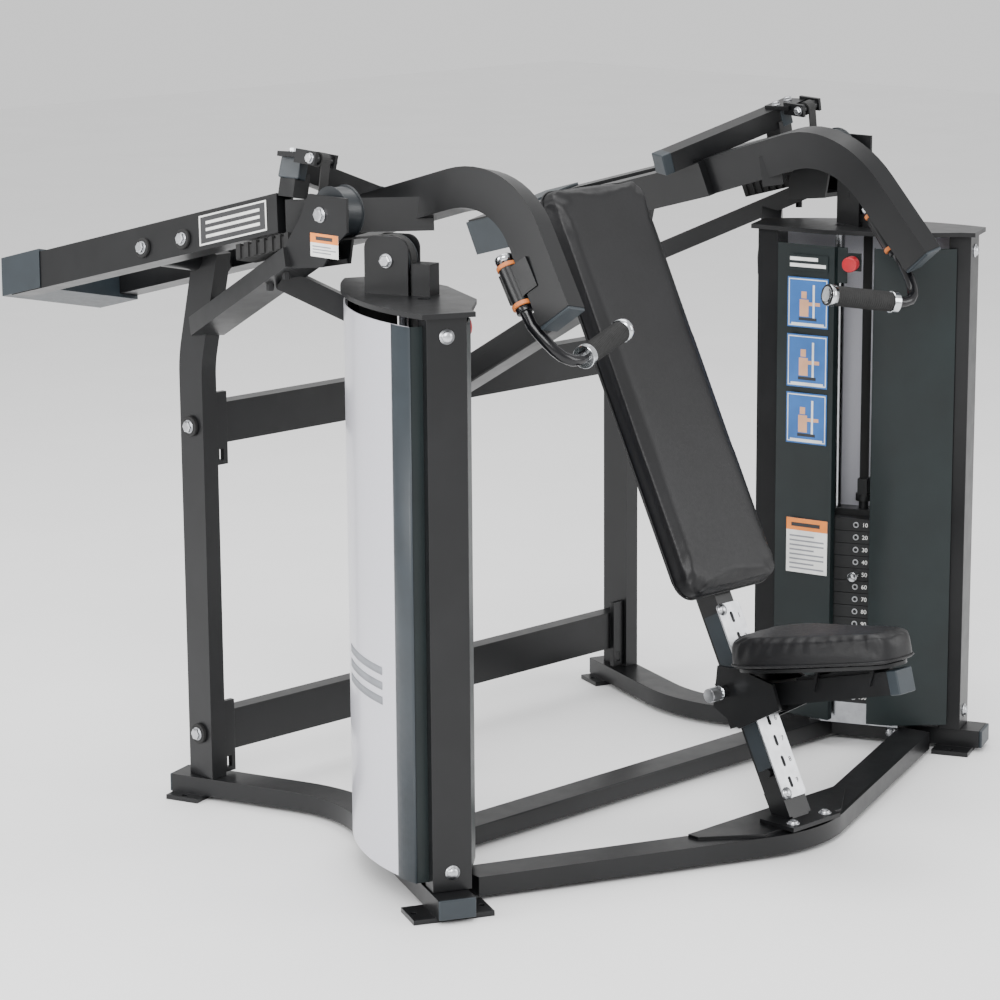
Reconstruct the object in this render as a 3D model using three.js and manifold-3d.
// Selectorised shoulder press machine: two independent press arms, two weight towers, one seat.
// Millimetres, +Z up, +X towards the user's left, the user faces -Y.
import * as THREE from "three";
import { mergeVertices } from "three/addons/utils/BufferGeometryUtils.js";
import Module from "manifold-3d";

const wasm = await Module();
wasm.setup();

// ---- driving dimensions -------------------------------------------------------------------
const GAP = 0.4; // air left between neighbouring pieces
const CENTRE_Y = -62.8; // moves the whole machine so that its bounding box is centred
const BASE_Z = [10, 50]; // flat base tubes, on 10 mm foot plates
const TUBE_W = 76;
const POST_X = [630, 669];
const POST_Y = 546;
const TOWER_SPLAY = THREE.MathUtils.degToRad(25);
const TOWER_CORNER = [765, -411]; // inner front corner of a weight tower
const TOWER_TOP = 1180;
const STACK = { s: [128, 352], w: [-36, 84], plates: 15, pitch: 28.8, bottom: 102, lifted: 5 };
const STACK_MID = [240, 28];
const ROD_S = [176, 304];
const ARM_PIVOT = [654, 510, 1194];
const ARM_ROLL = THREE.MathUtils.degToRad(12);
const ARM_YAW = THREE.MathUtils.degToRad(2);
const HINGE_F = -17;
const TUBE_DEEP = 80;
const SHAFT_R = 14.85;
const BORE_R = 15.1;
const BACK_TOP = [-2, 1338]; // backrest front face, upper and lower edge, in (y, z)
const BACK_LOW = [-419, 525];
const BACK_W = 290;
const PAD = 44;
const BOARD = 8;
const MAST_W = 50;
const MAST_D = 55;
const BOX_PULLEY = { at: [744, -27, 1341], r: 50 };
const TOP_PULLEY = { r: 45, z: 1256 };
const BELT_W = 22;
const BELT_T = 3;
const PULLEY_BORE = 8.2;
const AXLE_R = 7.9;

// ---- small geometry kit --------------------------------------------------------------------
const V = (x, y, z) => new THREE.Vector3(x, y, z);
const X = V(1, 0, 0), Y = V(0, 1, 0), Z = V(0, 0, 1);

// A three.js geometry as a manifold-3d solid facing outwards.
function solid(geometry) {
  const flat = geometry.index ? geometry.toNonIndexed() : geometry;
  const bare = new THREE.BufferGeometry().setAttribute("position", flat.getAttribute("position"));
  const g = mergeVertices(bare, 1e-4);
  const make = (tris) =>
    new wasm.Manifold(
      new wasm.Mesh({
        numProp: 3,
        vertProperties: new Float32Array(g.attributes.position.array),
        triVerts: new Uint32Array(tris),
      }),
    );
  const tris = [];
  for (let i = 0; i < g.index.count; i += 3) {
    const t = [g.index.getX(i), g.index.getX(i + 1), g.index.getX(i + 2)];
    if (t[0] !== t[1] && t[1] !== t[2] && t[0] !== t[2]) tris.push(...t);
  }
  const made = make(tris);
  return made.volume() >= 0 ? made : make(tris.slice().reverse());
}

function geometryOf(s) {
  const m = s.getMesh();
  const v = new Float32Array(m.numVert * 3);
  for (let i = 0; i < m.numVert; i++)
    v.set(m.vertProperties.subarray(i * m.numProp, i * m.numProp + 3), i * 3);
  const g = new THREE.BufferGeometry().setAttribute("position", new THREE.BufferAttribute(v, 3));
  g.setIndex(new THREE.BufferAttribute(new Uint32Array(m.triVerts), 1));
  const flat = g.toNonIndexed();
  flat.computeVertexNormals();
  return flat;
}

const join = (...s) => s.flat().reduce((a, b) => a.add(b));
const cut = (a, ...s) => s.flat().reduce((x, b) => x.subtract(b), a);

// Closed extrusion of a shape drawn in the plane (ex, ey) at origin, depth along ex x ey.
function slab(shape, origin, ex, ey, depth, curveSegments = 8) {
  const g = new THREE.ExtrudeGeometry(shape, { depth, bevelEnabled: false, curveSegments });
  const m = new THREE.Matrix4().makeBasis(ex, ey, ex.clone().cross(ey)).setPosition(origin);
  return solid(g.applyMatrix4(m));
}

const shapeOf = (points) => new THREE.Shape(points.map(([a, b]) => new THREE.Vector2(a, b)));
const planPlate = (shape, z0, z1) => slab(shape, V(0, 0, z0), X, Y, z1 - z0);
const sidePlate = (shape, x0, x1) => slab(shape, V(x0, 0, 0), Y, Z, x1 - x0);

const block = (lo, hi) =>
  solid(
    new THREE.BoxGeometry(hi[0] - lo[0], hi[1] - lo[1], hi[2] - lo[2]).translate(
      (hi[0] + lo[0]) / 2, (hi[1] + lo[1]) / 2, (hi[2] + lo[2]) / 2,
    ),
  );

// Straight rectangular bar from p to q: wide along side, tall across it.
function bar(p, q, wide, tall, side) {
  const d = q.clone().sub(p);
  const ez = d.clone().normalize();
  const ey = ez.clone().cross(side).normalize();
  const ex = ey.clone().cross(ez);
  const m = new THREE.Matrix4().makeBasis(ex, ey, ez);
  m.setPosition(p.clone().add(q).multiplyScalar(0.5));
  return solid(new THREE.BoxGeometry(wide, tall, d.length()).applyMatrix4(m));
}

function rod(p, q, r, sides = 18) {
  const d = q.clone().sub(p);
  const g = new THREE.CylinderGeometry(r, r, d.length(), sides);
  g.applyQuaternion(new THREE.Quaternion().setFromUnitVectors(Y, d.clone().normalize()));
  const c = p.clone().add(q).multiplyScalar(0.5);
  return solid(g.translate(c.x, c.y, c.z));
}

// Round bar swept along a curve.
function sweep(curve, r, steps, sides = 16) {
  const circle = new THREE.Shape().absarc(0, 0, r, 0, 2 * Math.PI);
  return solid(
    new THREE.ExtrudeGeometry(circle, { steps, extrudePath: curve, curveSegments: sides / 2 }),
  );
}

// Body of revolution about axis through at; the profile is a closed loop of (radius, along).
function turned(profile, at, axis, sides = 28) {
  const loop = [...profile, profile[0]].map(([r, h]) => new THREE.Vector2(r, h));
  const g = new THREE.LatheGeometry(loop, sides);
  g.applyQuaternion(new THREE.Quaternion().setFromUnitVectors(Y, axis));
  return solid(g.translate(at.x, at.y, at.z));
}

// Centre line with rounded corners: each point is [a, b, corner radius].
function centreLine(points, steps) {
  const out = [];
  points.forEach(([a, b, r], i) => {
    const p = new THREE.Vector2(a, b);
    if (!r) return out.push(p);
    const back = new THREE.Vector2(points[i - 1][0], points[i - 1][1]).sub(p).normalize();
    const on = new THREE.Vector2(points[i + 1][0], points[i + 1][1]).sub(p).normalize();
    const half = Math.acos(back.dot(on)) / 2;
    const mid = back.clone().add(on).normalize().multiplyScalar(r / Math.sin(half)).add(p);
    const from = back.clone().multiplyScalar(r / Math.tan(half)).add(p).sub(mid);
    const turn = (Math.PI - 2 * half) * Math.sign(on.cross(back));
    for (let k = 0; k <= steps; k++)
      out.push(from.clone().rotateAround(new THREE.Vector2(), (turn * k) / steps).add(mid));
  });
  return out;
}

// Outline of a strip of even width along a centre line.
function strip(points, width, steps = 8) {
  const c = Array.isArray(points[0]) ? centreLine(points, steps) : points;
  const left = [], right = [];
  c.forEach((p, i) => {
    const ahead = i < c.length - 1 ? c[i + 1].clone().sub(p).normalize() : null;
    const behind = i > 0 ? p.clone().sub(c[i - 1]).normalize() : ahead;
    const on = ahead || behind;
    const t = behind.clone().add(on).normalize();
    const n = new THREE.Vector2(-t.y, t.x);
    n.multiplyScalar(width / 2 / n.dot(new THREE.Vector2(-on.y, on.x)));
    left.push(p.clone().add(n));
    right.unshift(p.clone().sub(n));
  });
  return new THREE.Shape([...left, ...right]);
}

// Points of an arc through three points.
function arcThrough(a, b, c, steps) {
  const [A, B, C] = [a, b, c].map(([u, v]) => new THREE.Vector2(u, v));
  const d = 2 * (A.x * (B.y - C.y) + B.x * (C.y - A.y) + C.x * (A.y - B.y));
  const [a2, b2, c2] = [A.lengthSq(), B.lengthSq(), C.lengthSq()];
  const o = new THREE.Vector2(
    (a2 * (B.y - C.y) + b2 * (C.y - A.y) + c2 * (A.y - B.y)) / d,
    (a2 * (C.x - B.x) + b2 * (A.x - C.x) + c2 * (B.x - A.x)) / d,
  );
  const u0 = A.clone().sub(o), u1 = C.clone().sub(o);
  const turn = Math.atan2(u0.cross(u1), u0.dot(u1));
  return Array.from({ length: steps + 1 }, (_, k) =>
    u0.clone().rotateAround(new THREE.Vector2(), (turn * k) / steps).add(o),
  );
}

function roundRect(w, h, r) {
  const s = new THREE.Shape();
  s.absarc(w / 2 - r, h / 2 - r, r, 0, Math.PI / 2);
  s.absarc(-w / 2 + r, h / 2 - r, r, Math.PI / 2, Math.PI);
  s.absarc(-w / 2 + r, -h / 2 + r, r, Math.PI, 1.5 * Math.PI);
  s.absarc(w / 2 - r, -h / 2 + r, r, 1.5 * Math.PI, 2 * Math.PI);
  return s;
}

// Bolt head with washer standing on a face at p, pointing along n.
function boltHead(p, n, r = 11, tall = 8) {
  const root = p.clone().addScaledVector(n, -1.5);
  const washer = rod(root, p.clone().addScaledVector(n, 2), r * 1.35, 14);
  return join(washer, rod(root, p.clone().addScaledVector(n, tall), r, 6));
}

// ---- frames of reference -------------------------------------------------------------------
// Weight tower: s runs back from the inner front corner, w runs outwards.
const TF = V(Math.sin(TOWER_SPLAY), -Math.cos(TOWER_SPLAY), 0);
const TC = V(Math.cos(TOWER_SPLAY), Math.sin(TOWER_SPLAY), 0);
const TB = TF.clone().negate();
const tower = (s, w, z) =>
  V(TOWER_CORNER[0], TOWER_CORNER[1], z).addScaledVector(TB, s).addScaledVector(TC, w);
const towerPlate = (points, z0, z1) => {
  const pts = points.map((p) => (p.isVector2 ? new THREE.Vector2(p.y, p.x) : new THREE.Vector2(p[1], p[0])));
  return slab(new THREE.Shape(pts), tower(0, 0, z0), TC, TB, z1 - z0);
};
const towerBox = (s0, s1, w0, w1, z0, z1) =>
  towerPlate([[s0, w0], [s0, w1], [s1, w1], [s1, w0]], z0, z1);
const sheet = (points, thick, z0, z1) => {
  const pts = points.map((p) => (p.isVector2 ? new THREE.Vector2(p.y, p.x) : new THREE.Vector2(p[1], p[0])));
  return slab(strip(pts, thick), tower(0, 0, z0), TC, TB, z1 - z0);
};

// Press arm: f forwards, a outwards along the hinge axis, u up and square to both.
const AF = V(-Math.sin(ARM_YAW), -Math.cos(ARM_YAW), 0);
const AA = V(
  Math.cos(ARM_ROLL) * Math.cos(ARM_YAW), -Math.cos(ARM_ROLL) * Math.sin(ARM_YAW), Math.sin(ARM_ROLL),
);
const AU = AF.clone().cross(AA);
const arm = (f, a, u) =>
  V(...ARM_PIVOT).addScaledVector(AF, f).addScaledVector(AA, a).addScaledVector(AU, u);
const armPlate = (shape, a0, a1) => slab(shape, arm(0, a1, 0), AF, AU, a1 - a0);

// Backrest line: down along the pad, and out of its face.
const DOWN = V(0, BACK_LOW[0] - BACK_TOP[0], BACK_LOW[1] - BACK_TOP[1]).normalize();
const OUT = V(0, DOWN.z, -DOWN.y);
const LEAN = V(0, BACK_TOP[0], BACK_TOP[1]);
const back = (x, down, out) => LEAN.clone().addScaledVector(DOWN, down).addScaledVector(OUT, out).setX(x);
const backPlate = (shape, down, out0, out1, round = 8) =>
  slab(shape, back(0, down, out0), DOWN.clone().cross(OUT), DOWN, out1 - out0, round);

// ---- base frame ----------------------------------------------------------------------------
const SIDE_LINE = [[667, 620], [527, 208, 330], [825, -431]];
const sideTube = (grow) =>
  slab(strip(SIDE_LINE, TUBE_W + 2 * grow, 10), V(0, 0, BASE_Z[0] - grow), X, Y,
    BASE_Z[1] - BASE_Z[0] + 2 * grow);

function foot(centre, along, long, across) {
  const side = V(-along.y, along.x, 0);
  const p = centre.clone().addScaledVector(along, -long / 2).setZ(5);
  const q = centre.clone().addScaledVector(along, long / 2).setZ(5);
  const plate = bar(p, q, across, 10, side);
  const holes = [-1, 1].map((k) => {
    const c = centre.clone().addScaledVector(side, k * (across / 2 - 13));
    return rod(c.clone().setZ(-5), c.clone().setZ(20), 6, 16);
  });
  return cut(plate, holes);
}

function baseSideTube() {
  const rear = V(0.322, 0.947, 0);
  return join(
    sideTube(0),
    foot(V(654, 581, 0), rear, 80, 128),
    foot(V(801, -379, 0), TF, 84, 166),
  );
}

const V_LINE = [[-760, -308.4], [0, -620, 260], [760, -308.4]];

function frontTube() {
  const tube = planPlate(strip(V_LINE, TUBE_W, 10), ...BASE_Z);
  const gusset = planPlate(
    shapeOf([[-232, -492], [-232, -520], [-120, -604], [120, -604], [232, -520], [232, -492]]),
    BASE_Z[1] - 1, BASE_Z[1] + 6,
  );
  const right = sideTube(GAP);
  return cut(join(tube, gusset), right, mirrored(right), outboard());
}

// Everything outboard of the base side tubes.
function outboard() {
  const one = planPlate(shapeOf([[730, -500], [640, 40], [990, 40], [990, -500]]), -20, 80);
  return [one, mirrored(one)];
}

const mirrored = (s) => {
  const g = geometryOf(s);
  return solid(g.applyMatrix4(new THREE.Matrix4().makeScale(-1, 1, 1)));
};

function baseCrossTube() {
  const side = sideTube(GAP);
  return cut(block([-668, -136, 10], [668, -60, 50]), side, mirrored(side));
}

// ---- rear posts and cross tubes ------------------------------------------------------------
const POST_LINE = [[POST_Y, BASE_Z[1] + GAP], [POST_Y, 968, 260], [484, 1214]];
const postTube = (grow) =>
  sidePlate(strip(POST_LINE, TUBE_W + 2 * grow, 8), POST_X[0] - grow, POST_X[1] + grow);

function rearPost() {
  const sleeve = rod(arm(HINGE_F, -71.4, 0), arm(HINGE_F, 103.4, 0), 33, 36);
  const bore = rod(arm(HINGE_F, -80, 0), arm(HINGE_F, 110, 0), BORE_R, 36);
  const heads = [148, 828].map((z) => [
    rod(V(POST_X[1] - 1, 546, z), V(POST_X[1] + 7, 546, z), 21, 20),
    boltHead(V(POST_X[1] + 7, 546, z), X, 10.5, 8),
  ]);
  return cut(join(postTube(0), sleeve, heads.flat()), bore);
}

function crossTube(z0, z1) {
  const x = POST_X[0] - GAP;
  const tube = block([-x, 528, z0], [x, 568, z1]);
  const strips = [-1, 1].map((k) => {
    const cx = k * (x - 17);
    const plate = block([cx - 17, 517, z0 - 44], [cx + 17, 529, z1 + 26]);
    return cut(plate, block([cx - 6, 500, z0 - 34], [cx + 6, 540, z0 - 10]));
  });
  return join(tube, strips);
}

function centreStrut() {
  const rise = 0.563;
  const p = V(0, 527.6, 908 + (331 - 527.6) * rise);
  const q = V(0, -40, 908 + (331 + 40) * rise);
  const tube = bar(V(0, 600, 908 + (331 - 600) * rise), q, 70, 58, X);
  const lug = rod(p.clone().add(V(-48, -60, 20)), p.clone().add(V(48, -60, 20)), 12, 20);
  return cut(join(tube, lug), block([-80, 527.6, 600], [80, 700, 1000]), mastTube(GAP));
}

// ---- mast, seat and pads -------------------------------------------------------------------
const MAST_FRONT = -(PAD + BOARD);
const mastTube = (grow) => {
  const out = MAST_FRONT - MAST_D / 2;
  const tube = bar(back(0, 70, out), back(0, 1480, out), MAST_W + 2 * grow, MAST_D + 2 * grow, X);
  return cut(tube, block([-200, -900, -200], [200, -200, BASE_Z[1] + 6 + GAP]));
};

function mast() {
  const floor = BASE_Z[1] + 6 + GAP;
  const foot = block([-74, -640, floor], [74, -548, floor + 9]);
  const board = backPlate(roundRect(BACK_W - 24, 880, 34), 457, -PAD - BOARD - 1, -PAD - GAP);
  const tube = cut(mastTube(0), block([-200, -800, 0], [200, -300, floor]));
  const ears = [-1, 1].map((k) => bar(V(k * 29, -580, floor + 5), V(k * 29, -548, floor + 62), 8, 60, X));
  const heads = [-50, 50].map((x) => boltHead(V(x, -618, floor + 9), Z, 9, 7));
  const stem = rod(V(-40, -536, floor + 96), V(40, -536, floor + 96), 9, 16);
  const clear = backPlate(roundRect(100, 700, 5), 1150, MAST_FRONT - 0.1, MAST_FRONT + 40);
  const low = block([-200, -900, -50], [200, -200, floor]);
  return cut(join(tube, board, stem, foot, heads, cut(join(ears), clear)), low);
}

const SCALE = { top: 935, low: 1362, w: 68, slots: 9 };

function seatScale() {
  const mid = (SCALE.top + SCALE.low) / 2;
  const long = SCALE.low - SCALE.top;
  const out = MAST_FRONT + GAP;
  const plate = backPlate(roundRect(SCALE.w, long, 8), mid, out, out + 4);
  const slots = Array.from({ length: SCALE.slots }, (_, i) => {
    const d = SCALE.top + 32 + (i * (long - 64)) / (SCALE.slots - 1);
    return backPlate(roundRect(9, 24, 4.4), d, out - 5, out + 10, 2);
  });
  const ends = [SCALE.top + 12, SCALE.low - 12].map((d) => {
    const p = back(-22, d, out + 4);
    return boltHead(p, OUT, 8, 6);
  });
  return cut(join(plate, ends), slots);
}

const SEAT_AT = 1136; // carriage height, measured down the backrest line
const SEAT_ARM = [V(0, -548, 322), V(0, -862, 408)];

function seatCarriage() {
  const half = 50;
  const out = MAST_FRONT - MAST_D / 2;
  const outer = bar(back(0, SEAT_AT - half, out + 6), back(0, SEAT_AT + half, out + 6), 92, 86, X);
  const hollow = bar(back(0, SEAT_AT - 90, out + 3), back(0, SEAT_AT + 90, out + 3), 72, 66, X);
  const armTube = cut(bar(V(0, -470, 300.6), SEAT_ARM[1], 48, 48, X),
    bar(back(0, 900, out + 3), back(0, 1400, out + 3), 73, 67, X),
    backPlate(roundRect(200, 400, 5), SEAT_AT, -400, MAST_FRONT - 20));
  const lift = [0.32, 0.78].map((k) => {
    const p = SEAT_ARM[0].clone().lerp(SEAT_ARM[1], k);
    return bar(p, seat(0, (p.y - SEAT_REAR[0]) / SEAT_D.y, -SEAT_THICK - 4), 60, 8, X);
  });
  const board = seatPlate(seatOutline(-12), -SEAT_THICK - 8, -SEAT_THICK - GAP);
  const web = bar(V(0, -600, 348), V(0, -800, 410), 40, 34, X);
  const cheek = shapeOf([[-408, 362], [-398, 272], [-470, 238], [-580, 300], [-560, 350], [-470, 366]]);
  const cheeks = [46, -54].map((x) => sidePlate(cheek, x, x + 8));
  const collar = rod(V(-53, -432, 312), V(-72, -432, 312), 13, 16);
  const bore = rod(V(-30, -432, 312), V(-90, -432, 312), 6.3, 20);
  return cut(join(outer, armTube, cheeks, lift, web, board, collar), hollow, bore);
}

const SEAT_REAR = [-452, 430]; // rear upper edge of the seat pad, in (y, z)
const SEAT_TILT = THREE.MathUtils.degToRad(10.5);
const SEAT_D = V(0, -Math.cos(SEAT_TILT), Math.sin(SEAT_TILT));
const SEAT_N = V(0, Math.sin(SEAT_TILT), Math.cos(SEAT_TILT));
const SEAT_THICK = 58;
const SEAT_LONG = 404;
const seat = (x, d, n) =>
  V(x, SEAT_REAR[0], SEAT_REAR[1]).addScaledVector(SEAT_D, d).addScaledVector(SEAT_N, n);
const seatPlate = (shape, n0, n1) => slab(shape, seat(0, 0, n0), SEAT_D, X, n1 - n0, 6);

function seatOutline(grow) {
  const half = 108 + grow, nose = 66 + grow, end = SEAT_LONG + grow;
  const s = new THREE.Shape();
  s.moveTo(-grow, 0);
  s.bezierCurveTo(-grow, half * 0.8, 16 - grow, half, 84, half);
  s.bezierCurveTo(180, half, end - 110, nose + 14, end - 50, nose);
  s.bezierCurveTo(end - 14, nose - 8, end, nose * 0.6, end, 0);
  s.bezierCurveTo(end, -nose * 0.6, end - 14, -nose + 8, end - 50, -nose);
  s.bezierCurveTo(end - 110, -nose - 14, 180, -half, 84, -half);
  s.bezierCurveTo(16 - grow, -half, -grow, -half * 0.8, -grow, 0);
  return s;
}

const seatPad = () => seatPlate(seatOutline(0), -SEAT_THICK, 0);
const backrestPad = () => backPlate(roundRect(BACK_W, 912, 42), 457, -PAD, 0);

function popPin() {
  const at = (x) => V(x, -432, 312);
  return join(rod(at(-42), at(-90), 6, 20), rod(at(-73), at(-82), 13, 6), rod(at(-81), at(-106), 15, 24));
}

// ---- weight towers -------------------------------------------------------------------------
const FRONT_POST = [0, 49, 0, 80];
const REAR_POST = [440, 487, 0, 80];

function towerPost([s0, s1, w0, w1], faceAt) {
  const post = towerBox(s0, s1, w0, w1, BASE_Z[1] + GAP, TOWER_TOP);
  const outwards = faceAt > 100 ? TB : TF;
  const heads = [88, 1144].map((z) => boltHead(tower(faceAt, (w0 + w1) / 2, z), outwards, 9, 7));
  return join(post, heads);
}

const SHROUD_ARC = [[30, 105], [240, 147], [464, 98]];
const LID = [[-12, 92], [-12, -14], [20, -16], [136, -66], [318, -66], [470, -22], [500, -14], [500, 92]];

function towerTop() {
  const arc = arcThrough([500, 92], [240, 152], [-12, 92], 16).slice(1, -1);
  const lid = towerPlate([...LID, ...arc], TOWER_TOP + GAP, TOWER_TOP + 10);
  const slot = rod(tower(...STACK_MID, 1170), tower(...STACK_MID, 1200), 20, 24);
  const plates = [-1, 1].map((k) => pulleyPlate(k * 24, 5));
  const p = topPulleyAt();
  const n = runSide();
  const axle = rod(p.clone().addScaledVector(n, -27), p.clone().addScaledVector(n, 32), AXLE_R, 20);
  const head = boltHead(p.clone().addScaledVector(n, 26.4), n, 10, 8);
  const rodHoles = ROD_S.map((s) => rod(tower(s, STACK_MID[1], 1170), tower(s, STACK_MID[1], 1200), 13, 20));
  return join(cut(lid, slot, rodHoles), plates, axle, head, restPost());
}

// Square tube on the lid, ahead of the tower pulley, over which the arm comes to rest.
const REST_POST = { ahead: 72, wide: 40, top: 1252 };

function restPost() {
  const { ahead, wide, top } = REST_POST;
  const foot = topPulleyAt().addScaledVector(runDir(), -ahead).setZ(TOWER_TOP + 9);
  return bar(foot, foot.clone().setZ(top), wide, wide, runSide());
}

// Horizontal direction of the belt run from the tower pulley to the upper pulley.
function runDir() {
  const d = V(BOX_PULLEY.at[0], BOX_PULLEY.at[1], 0).sub(tower(...STACK_MID, 0));
  return d.normalize();
}
const runSide = () => runDir().cross(Z);
const topPulleyAt = () =>
  tower(...STACK_MID, TOP_PULLEY.z).addScaledVector(runDir(), TOP_PULLEY.r + BELT_T / 2);

function pulleyPlate(off, thick) {
  const p = topPulleyAt().addScaledVector(runSide(), off - thick / 2);
  const s = new THREE.Shape();
  s.moveTo(-48, -TOP_PULLEY.z + TOWER_TOP + 9);
  s.lineTo(-48, 22);
  s.absarc(-22, 22, 26, Math.PI, Math.PI / 2, true);
  s.absarc(22, 22, 26, Math.PI / 2, 0, true);
  s.lineTo(48, -TOP_PULLEY.z + TOWER_TOP + 9);
  return slab(s, p, runDir(), Z, thick);
}

function shroud() {
  return sheet(arcThrough(...SHROUD_ARC, 18), 3, 66, 1162);
}

const PANEL_Z = [62, 1152];

function panelFront() {
  return sheet([[30, -4], [147, -55], [202, -58], [206, -41]], 3, ...PANEL_Z);
}

// The rear panel also carries the small bracket of the add-on weight knob.
function panelRear() {
  const panel = sheet([[290, -41], [294, -58], [369, -38], [437, -10]], 3, ...PANEL_Z);
  const strap = towerBox(268, 290, -45, -41, 1070, 1150);
  const tab = towerBox(236, 280, -45, -41, 1098, 1138);
  return cut(join(panel, strap, tab), rod(knobAt(-20), knobAt(-80), 6.4, 16));
}

const knobAt = (w) => tower(252, w, 1118);

function stackBase() {
  const [s, w] = [STACK.s, STACK.w];
  const rest = towerBox(s[0] + 8, s[1] - 8, w[0] + 8, w[1] - 8, BASE_Z[1] + GAP, STACK.bottom - GAP);
  const rods = ROD_S.map((at) => rod(tower(at, STACK_MID[1], 60), tower(at, STACK_MID[1], 1184), 11, 14));
  return join(rest, rods);
}

function plates(first, count) {
  const { s, w, pitch, bottom } = STACK;
  const z0 = bottom + first * pitch;
  const core = towerBox(s[0] + 3, s[1] - 3, w[0] + 3, w[1] - 3, z0 + 0.6, z0 + count * pitch - 0.6);
  const each = Array.from({ length: count }, (_, i) =>
    towerBox(...s, ...w, z0 + i * pitch + 0.6, z0 + (i + 1) * pitch - 0.6));
  const holes = ROD_S.map((at) => rod(tower(at, STACK_MID[1], 0), tower(at, STACK_MID[1], 900), 12.5, 14));
  return cut(join(core, each), holes);
}

const PIN_Z = STACK.bottom + (STACK.plates - STACK.lifted + 0.5) * STACK.pitch;

function stackResting() {
  const stem = rod(tower(...STACK_MID, 0), tower(...STACK_MID, 700), 13, 16);
  return cut(plates(0, STACK.plates - STACK.lifted), stem);
}

function stackLifted() {
  const top = STACK.bottom + STACK.plates * STACK.pitch;
  const stem = rod(tower(...STACK_MID, STACK.bottom + 20), tower(...STACK_MID, top + 34), 11, 14);
  const head = rod(tower(...STACK_MID, top + 30), tower(...STACK_MID, top + 46), 18, 18);
  const [s, w] = STACK_MID;
  const fork = towerBox(s - 11, s + 11, w - 16, w + 16, top + 40, top + 82);
  const cheek = towerBox(s - 60, s + 60, w - 22, w + 22, top - 2, top + 12);
  const pin = rod(tower(STACK_MID[0], STACK.w[0] - 10, PIN_Z), tower(STACK_MID[0], 20, PIN_Z), 5.6, 20);
  return cut(join(plates(STACK.plates - STACK.lifted, STACK.lifted), stem, head, fork, cheek), pin,
    ...ROD_S.map((at) => rod(tower(at, STACK_MID[1], 0), tower(at, STACK_MID[1], 900), 12.5, 14)));
}

function selectorPin() {
  const at = (w) => tower(STACK_MID[0], w, PIN_Z);
  return join(rod(at(18), at(-44), 5, 20), rod(at(-38), at(-66), 11, 20));
}

function addonKnob() {
  const stem = rod(knobAt(-24), knobAt(-66), 6, 16);
  const foot = rod(knobAt(-22), knobAt(-28), 10, 16);
  const knob = rod(knobAt(-62), knobAt(-90), 17, 24);
  return join(stem, foot, knob);
}

// ---- brace, pulley box and bumper under each arm -------------------------------------------
const BRACE = [V(655, 505, 1046), V(765, 62, 1247)];

function brace() {
  const lateral = V(1, 0.22, 0.1);
  const tube = bar(BRACE[0], BRACE[1], TUBE_W, 40, lateral);
  const strut = bar(V(745, 150, 1196), tower(470, 20, 1092), 46, 46, Z);
  const upper = [[8, 1379], [34, 1330], [78, 1274], [78, 1226], [-30, 1238]];
  const outer = sidePlate(shapeOf([...upper, [-76, 1290], [-104, 1312], [-104, 1379]]), 786, 792);
  const inner = sidePlate(shapeOf([...upper, [-42, 1300], [-42, 1379]]), 716, 722);
  const web = block([716, -28, 1238], [792, 72, 1248]);
  const at = BOX_PULLEY.at;
  const axle = rod(V(718, at[1], at[2]), V(790, at[1], at[2]), AXLE_R, 20);
  const head = boltHead(V(792, at[1], at[2]), X, 11, 8);
  const nuts = [0.08, 0.24].map((k) => {
    const p = BRACE[1].clone().lerp(BRACE[0], k);
    return rod(p.clone().add(V(20, 0, -30)), p.clone().add(V(20, 0, -10)), 8, 6);
  });
  const rear = towerPlate([[439.5, -60], [439.5, 90], [487.5, 90], [487.5, -60]], 1000, TOWER_TOP + 1);
  return cut(join(tube, strut, outer, inner, web, axle, head, nuts), postTube(GAP), rear);
}

function bumper() {
  const body = bar(arm(272, 127, 14), arm(424, 127, 53), 52, 26, AA);
  const ribs = Array.from({ length: 7 }, (_, i) => {
    const k = i / 6;
    const f = 280 + k * 136;
    const u = 18 + k * 35;
    return bar(arm(f - 6, 127, u), arm(f + 6, 127, u + 3), 60, 30, AA);
  });
  return cut(join(body, ribs), bar(BRACE[0], BRACE[1], TUBE_W + 20, 40 + 2 * GAP, V(1, 0.22, 0.1)));
}

// ---- press arms ----------------------------------------------------------------------------
const TUBE_LINE = { rear: [-464, -97], kink: [330, 108], top: [766.7, 237.3, 200], end: [961.5, -21] };
const OUTER_A = [104, 150];
const INNER_A = [-120, -72];
const FRONT_A = [-101, -54];

function armRails(grow = 0) {
  const deep = TUBE_DEEP + 2 * grow;
  const outerLine = [[-440 - 2 * grow, -101], [372, 106]];
  const innerLine = [[TUBE_LINE.rear[0] - 2 * grow, TUBE_LINE.rear[1]], [372, 119]];
  return [
    armPlate(strip(outerLine, deep), OUTER_A[0] - grow, OUTER_A[1] + grow),
    armPlate(strip(innerLine, deep), INNER_A[0] - grow, INNER_A[1] + grow),
  ];
}

const BELT_LEVER = [[304, -183, 168], [391, 148, 201]];

const OBLIQUE = [[372, 127, 100], [562, -94, 148]]; // tube across from the outer rail to the front tube

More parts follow.
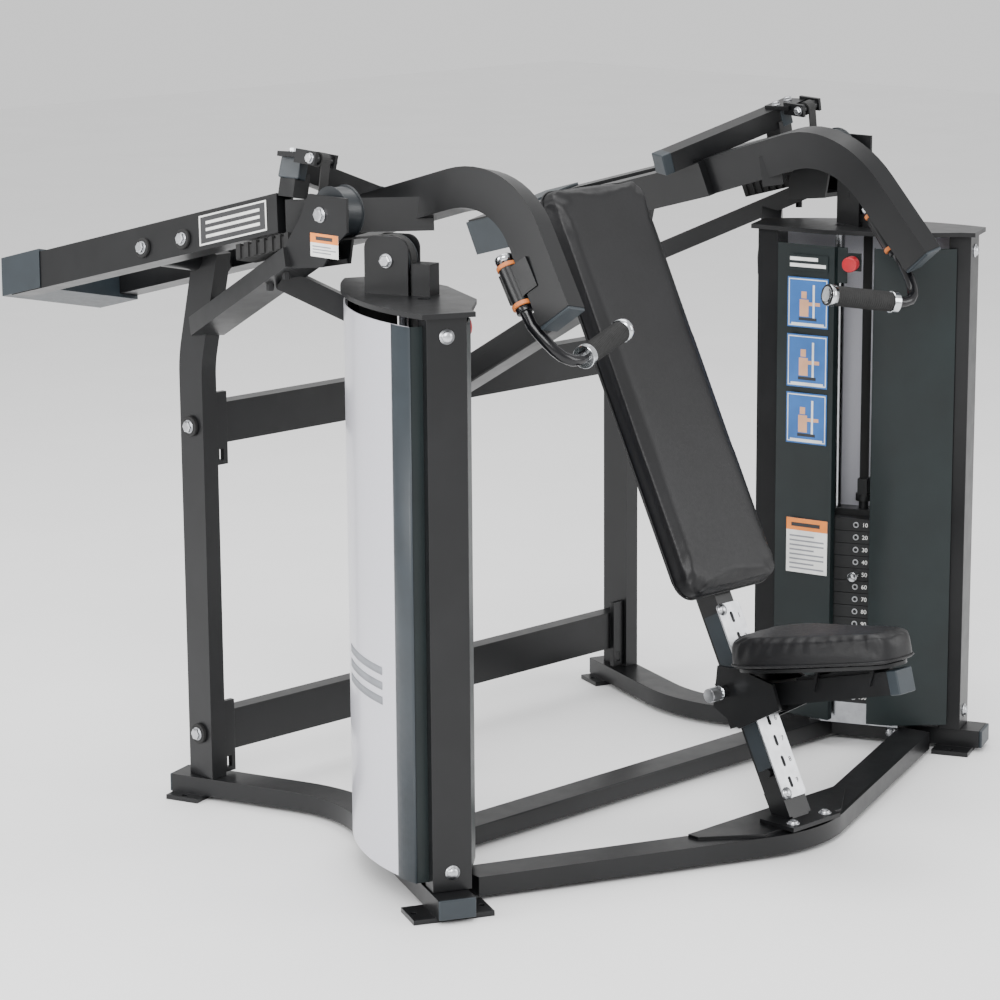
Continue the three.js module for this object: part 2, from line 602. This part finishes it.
function pressArm() {
  const { kink, top, end } = TUBE_LINE;
  const front = armPlate(strip([kink, top, end], 82, 12), ...FRONT_A);
  const [from, to] = OBLIQUE.map((at) => arm(...at));
  const oblique = bar(from, to, 46, 68, from.clone().sub(to).cross(AU));
  const shaft = rod(arm(HINGE_F, -100, 0), arm(HINGE_F, 130, 0), SHAFT_R, 36);
  const lever = bar(arm(...BELT_LEVER[0]), arm(...BELT_LEVER[1]), 46, 46, AF);
  const seatBlock = bar(arm(386, 127, 140), arm(386, 127, 190), 44, 40, AF);
  const innerBlock = bar(arm(326, -96, 130), arm(326, -96, 160), 44, 40, AF);
  const faces = [[HINGE_F, 0], [104, 29]].map(([f, u]) => [
    rod(arm(f, OUTER_A[1] - 2, u), arm(f, OUTER_A[1] + 6, u), 19, 20),
    boltHead(arm(f, OUTER_A[1] + 6, u), AA, 10, 8),
  ]);
  const cap = rod(arm(HINGE_F, INNER_A[0] + 2, 0), arm(HINGE_F, INNER_A[0] - 6, 0), 19, 20);
  return join(...armRails(), front, oblique, shaft, lever, seatBlock, innerBlock, faces.flat(), cap,
    clamp(), sleeve());
}

const CLAMP = { f: 470, a: 142, u: 219 };

// Belt clamp in front of the lever's outer end.
function clamp() {
  const { f, a, u } = CLAMP;
  const bridge = bar(arm(f - 98, a - 4, u + 3), arm(f - 24, a - 4, u + 6), 66, 10, AA);
  const cross = rod(arm(f, a - 26, u), arm(f, a + 26, u), 11, 20);
  const ears = [a - 27, a + 27].map((k) => bar(arm(f - 45, k, u + 3), arm(f + 14, k, u), 7, 28, AA));
  return join(bridge, cross, ears);
}

const SLEEVE = [[817, -58, 63], [871, -64, -12]];
const HANDLE_BORE = 12.3;
const HANDLE_R = 12;

// Short tube on the arm's lower face in which the handle turns.
function sleeve() {
  const p = arm(...SLEEVE[0]), q = arm(...SLEEVE[1]);
  const body = rod(p, q, 20, 24);
  const from = p.clone().lerp(q, 0.15), to = p.clone().lerp(q, 0.85);
  const shift = arm(28, 0, 22).sub(arm(0, 0, 0));
  const saddle = bar(from, to, 24, 40, AA);
  const web = bar(from.clone().add(shift), to.clone().add(shift), 24, 44, AA);
  return join(body, saddle, web);
}

// The sleeve is bored after its saddle has been joined to the tube.
function armNode() {
  const p = arm(...SLEEVE[0]), q = arm(...SLEEVE[1]);
  return cut(pressArm(), rod(p.clone().lerp(q, -0.8), p.clone().lerp(q, 1.6), HANDLE_BORE, 24));
}

function counterweight() {
  const line = strip([[-470, -105], [-346, -73]], TUBE_DEEP + 4);
  const body = armPlate(line, INNER_A[0] - 3, OUTER_A[1] + 3);
  return cut(body, armRails(GAP));
}

function handlePath() {
  const p = arm(...SLEEVE[0]), q = arm(...SLEEVE[1]);
  const axis = q.clone().sub(p).normalize();
  const start = p.clone().addScaledVector(axis, -12);
  const bendIn = q.clone().addScaledVector(axis, 38);
  const collar = arm(950, -170, -91);
  const tip = arm(907, -319, -31);
  const grip = tip.clone().sub(collar).normalize();
  const corner = collar.clone().addScaledVector(grip, -72);
  const path = new THREE.CurvePath();
  path.add(new THREE.LineCurve3(start, bendIn));
  path.add(new THREE.CubicBezierCurve3(
    bendIn, bendIn.clone().lerp(corner, 0.75), collar.clone().lerp(corner, 0.85), collar));
  path.add(new THREE.LineCurve3(collar, tip));
  return { path, axis, start, collar, tip, grip };
}

function handle() {
  const { path, axis, start, collar, tip, grip } = handlePath();
  const neck = sweep(path, HANDLE_R, 22, 12);
  const cap = rod(start.clone().addScaledVector(axis, -6), start.clone().addScaledVector(axis, 11), 19, 18);
  const lower = arm(...SLEEVE[1]);
  const ring = rod(lower.clone().addScaledVector(axis, 0.5), lower.clone().addScaledVector(axis, 12), 18, 18);
  const disc = (at, from, to) =>
    rod(at.clone().addScaledVector(grip, from), at.clone().addScaledVector(grip, to), 23, 20);
  const near = disc(collar, -4, 12);
  const end = disc(tip, -8, 8);
  return join(neck, cap, ring, near, end);
}

function grip() {
  const { collar, tip, grip: d } = handlePath();
  const from = collar.clone().addScaledVector(d, 12 + GAP), to = tip.clone().addScaledVector(d, -8 - GAP);
  const whole = rod(from, to, 21, 20);
  return cut(whole, rod(collar, tip, 12.6, 24));
}

// ---- pulleys and belts ---------------------------------------------------------------------
function pulley(at, axis, r, h) {
  const rim = r + 3.4;
  return turned([[PULLEY_BORE, -h], [rim, -h], [rim, 2.5 - h], [r, 2.5 - h], [r, h - 2.5], [rim, h - 2.5],
    [rim, h], [PULLEY_BORE, h]], at, axis);
}
const boxPulley = () => pulley(V(...BOX_PULLEY.at), X, BOX_PULLEY.r, 21);
const towerPulley = () => pulley(topPulleyAt(), runSide(), TOP_PULLEY.r, 18);

const WRAP = BELT_T / 2 + 2 * GAP;

// Belt from the clamp down to the rear of the upper pulley.
function beltArm() {
  const [x, y, z] = BOX_PULLEY.at;
  const hook = arm(CLAMP.f, CLAMP.a, CLAMP.u);
  const drop = V(x, y + BOX_PULLEY.r + WRAP, z + 5);
  const run = bar(hook.clone().add(V(0, -13.4, -2)), drop, BELT_W, BELT_T, X);
  const roller = (r, half) =>
    rod(hook.clone().addScaledVector(AA, -half), hook.clone().addScaledVector(AA, half), r, 20);
  return cut(join(roller(15.4, BELT_W / 2), run), roller(11.8, BELT_W));
}

// Rise angle of the belt between the underside of one pulley and the top of the next.
function runRise(r, R) {
  const c = topPulleyAt(), [x, y, z] = BOX_PULLEY.at;
  const run = Math.hypot(x - c.x, y - c.y), drop = z - c.z;
  return Math.asin((r + R) / Math.hypot(run, drop)) - Math.atan2(drop, run);
}

// Belt under the upper pulley, across, and over the tower pulley.
function beltMid() {
  const [x, y, z] = BOX_PULLEY.at;
  const r = BOX_PULLEY.r + WRAP;
  const R = TOP_PULLEY.r + WRAP;
  const c = topPulleyAt();
  const phi = runRise(r, R);
  const leave = [y - r * Math.sin(phi), z - r * Math.cos(phi)];
  const under = arcThrough([y + r, z], [y + r * Math.SQRT1_2, z - r * Math.SQRT1_2], leave, 12);
  const low = sidePlate(strip(under, BELT_T), x - BELT_W / 2, x + BELT_W / 2);
  const land = [R * Math.sin(phi), R * Math.cos(phi)];
  const over = arcThrough([-R, 0], [-R * Math.SQRT1_2, R * Math.SQRT1_2], land, 12);
  const edge = c.clone().addScaledVector(runSide(), -BELT_W / 2);
  const high = slab(strip(over, BELT_T), edge, runDir(), Z, BELT_W);
  const a = over[over.length - 1], b = under[under.length - 1];
  const p = c.clone().addScaledVector(runDir(), a.x).add(V(0, 0, a.y));
  const q = V(x, b.x, b.y);
  const run = bar(p, q, BELT_W, BELT_T, runSide());
  return join(low, high, run);
}

function beltStack() {
  const top = STACK.bottom + STACK.plates * STACK.pitch + 82 + GAP;
  const n = runSide(), at = (z) => topPulleyAt().addScaledVector(runDir(), -TOP_PULLEY.r - WRAP).setZ(z);
  return bar(at(top), at(TOP_PULLEY.z - GAP), BELT_W, BELT_T, n);
}

// ---- scene graph ---------------------------------------------------------------------------
const LOOK = {
  frame: [0x1a1b1d, 0.42, 0.35], gloss: [0x15161a, 0.3, 0.3], panel: [0x16211f, 0.55, 0.2],
  slate: [0x4a5560, 0.6, 0], silver: [0xcdcdd7, 0.35, 0.3], vinyl: [0x141416, 0.55, 0],
  zinc: [0xb4b7ba, 0.35, 0.9], rubber: [0x161616, 0.85, 0], red: [0xb3202c, 0.35, 0],
  iron: [0x2a2b2c, 0.6, 0.4], belt: [0x101010, 0.7, 0], chrome: [0xc8cacc, 0.15, 1],
  steel: [0x33363a, 0.35, 0.6],
};

const machine = new THREE.Group();
machine.name = "shoulder_press";

function add(group, name, s, look) {
  const [color, roughness, metalness] = LOOK[look];
  const material = new THREE.MeshStandardMaterial({ color, roughness, metalness });
  const mesh = new THREE.Mesh(geometryOf(s), material);
  mesh.name = name;
  group.add(mesh);
  return mesh;
}

const SIDE_PIECES = [
  ["base_side_tube", baseSideTube(), "frame"],
  ["rear_post", rearPost(), "frame"],
  ["brace", brace(), "frame"],
  ["arm_bumper", bumper(), "rubber"],
  ["tower_front_post", towerPost(FRONT_POST, 0), "frame"],
  ["tower_rear_post", towerPost(REAR_POST, 487), "frame"],
  ["tower_top", towerTop(), "frame"],
  ["tower_shroud", shroud(), "silver"],
  ["inner_panel_front", panelFront(), "panel"],
  ["inner_panel_rear", panelRear(), "panel"],
  ["stack_base", stackBase(), "steel"],
  ["stack_resting", stackResting(), "iron"],
  ["stack_lifted", stackLifted(), "iron"],
  ["selector_pin", selectorPin(), "chrome"],
  ["addon_knob", addonKnob(), "red"],
  ["press_arm", armNode(), "frame"],
  ["arm_counterweight", counterweight(), "slate"],
  ["handle", handle(), "gloss"],
  ["grip", grip(), "rubber"],
  ["upper_pulley", boxPulley(), "zinc"],
  ["tower_pulley", towerPulley(), "zinc"],
  ["belt_arm", beltArm(), "belt"],
  ["belt_mid", beltMid(), "belt"],
  ["belt_stack", beltStack(), "belt"],
];

for (const [side, flip] of [["left", 1], ["right", -1]]) {
  const group = new THREE.Group();
  group.name = "side_" + side;
  group.scale.x = flip;
  for (const [name, s, look] of SIDE_PIECES) add(group, name + "_" + side, s, look);
  machine.add(group);
}

const middle = new THREE.Group();
middle.name = "middle";
add(middle, "front_tube", frontTube(), "frame");
add(middle, "base_cross_tube", baseCrossTube(), "frame");
add(middle, "lower_cross_tube", crossTube(100, 190), "frame");
add(middle, "upper_cross_tube", crossTube(784, 872), "frame");
add(middle, "centre_strut", centreStrut(), "frame");
add(middle, "mast", mast(), "frame");
add(middle, "seat_scale", seatScale(), "zinc");
add(middle, "backrest_pad", backrestPad(), "vinyl");
add(middle, "seat_carriage", seatCarriage(), "frame");
add(middle, "seat_pad", seatPad(), "vinyl");
add(middle, "pop_pin", popPin(), "zinc");
machine.add(middle);

machine.position.y = CENTRE_Y;
machine.updateMatrixWorld(true);

export default machine;
